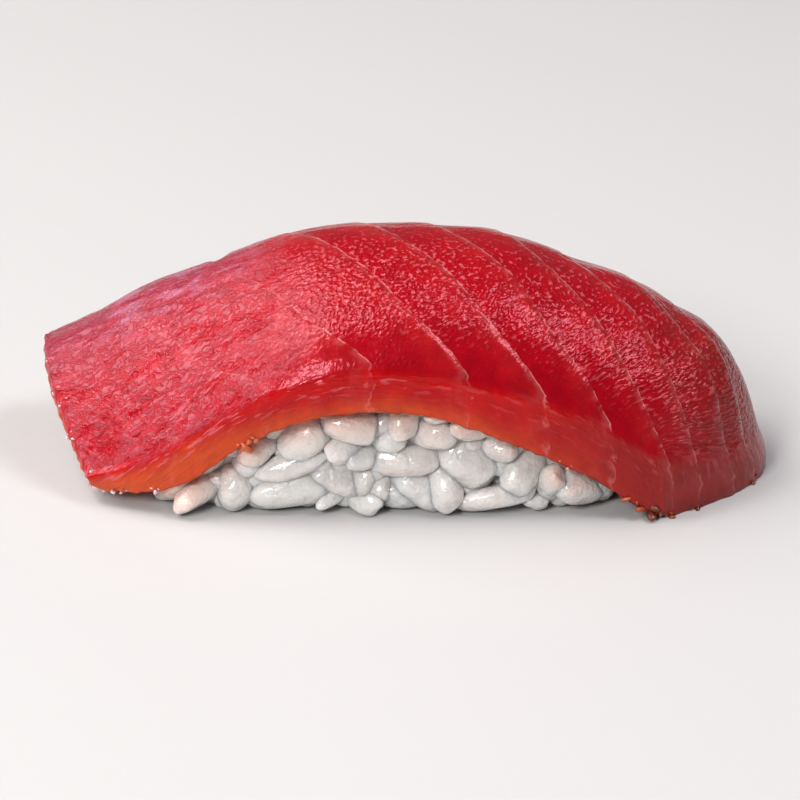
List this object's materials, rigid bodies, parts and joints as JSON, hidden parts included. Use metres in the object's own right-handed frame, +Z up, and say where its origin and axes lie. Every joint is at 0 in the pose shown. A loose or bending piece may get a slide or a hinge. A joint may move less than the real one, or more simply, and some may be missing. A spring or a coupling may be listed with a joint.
{
  "type": "tuna nigiri sushi",
  "caption": "Tuna nigiri: a thick slice of raw red tuna draped over an oblong ball of hand-pressed rice.",
  "frame": {"origin": "on the surface the nigiri rests on, under the middle of its bounding box", "axes": "+X along the slice, from its blunt cut end towards its rounded end; -Y towards the side that shows the rice; +Z up"},
  "size_m": [0.0784, 0.0292, 0.026],
  "materials": {
    "raw_tuna": "wet, glossy and slightly translucent",
    "cooked_rice": "moist, soft gloss, translucent"
  },
  "bodies": {
    "root": {"tuna_slice": "raw_tuna", "rice_ball": "cooked_rice"}
  },
  "joints": []
}
